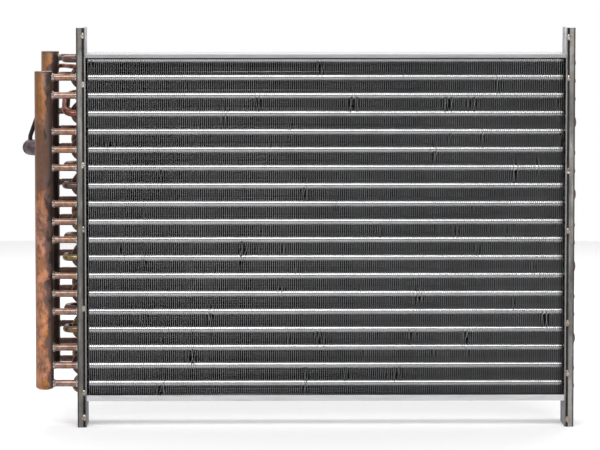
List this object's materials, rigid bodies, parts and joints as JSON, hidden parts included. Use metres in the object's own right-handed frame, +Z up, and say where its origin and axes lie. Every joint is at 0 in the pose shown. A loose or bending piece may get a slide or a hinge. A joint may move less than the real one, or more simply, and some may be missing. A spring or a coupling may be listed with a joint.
{
  "type": "condenser and oil cooler module",
  "caption": "Upright plate-fin coil of staggered copper tubes between double steel side plates, with copper headers on one side.",
  "frame": {"origin": "centre of the bounding box's bottom face, on the surface that the side plates stand on", "axes": "+X along the tubes from the header side to the hairpin side, +Y from the pictured front to the back, +Z up"},
  "size_m": [0.7852, 0.1392, 0.5629],
  "materials": {
    "fin_aluminium": "mill finish, slightly dull",
    "tube_copper": null,
    "header_copper": null,
    "galvanised_steel": "galvanised sheet, dull",
    "weld_metal": "tack weld with burnt zinc around it"
  },
  "bodies": {
    "root": {"fin_stack": "fin_aluminium", "front_fin_edges": "fin_aluminium", "rear_fin_edges": "fin_aluminium", "front_row_tubes": "tube_copper", "rear_row_tubes": "tube_copper", "left_inner_sheet": "galvanised_steel", "right_inner_sheet": "galvanised_steel", "left_channel": "galvanised_steel", "right_channel": "galvanised_steel", "left_tack_welds": "weld_metal", "right_tack_welds": "weld_metal", "top_cover": "galvanised_steel", "bottom_cover": "galvanised_steel", "front_header": "header_copper", "rear_header": "header_copper", "header_caps": "header_copper", "front_header_stubs": "tube_copper", "rear_header_stubs": "tube_copper", "row_2_return_bends": "tube_copper", "row_3_return_bends": "tube_copper", "row_4_return_bends": "tube_copper", "slanted_return_bends": "tube_copper", "front_crossing_bends": "tube_copper", "rear_crossing_bends": "tube_copper", "row_1_hairpin_bends": "tube_copper", "row_1_to_2_hairpin_bends": "tube_copper", "row_2_to_3_hairpin_bends": "tube_copper", "row_3_to_4_hairpin_bends": "tube_copper", "row_4_to_5_hairpin_bends": "tube_copper", "row_5_hairpin_bends": "tube_copper", "tube_plug": "tube_copper", "gas_pipe": "header_copper", "liquid_pipe": "header_copper", "line_reducer": "tube_copper", "thin_line": "tube_copper"}
  },
  "joints": []
}
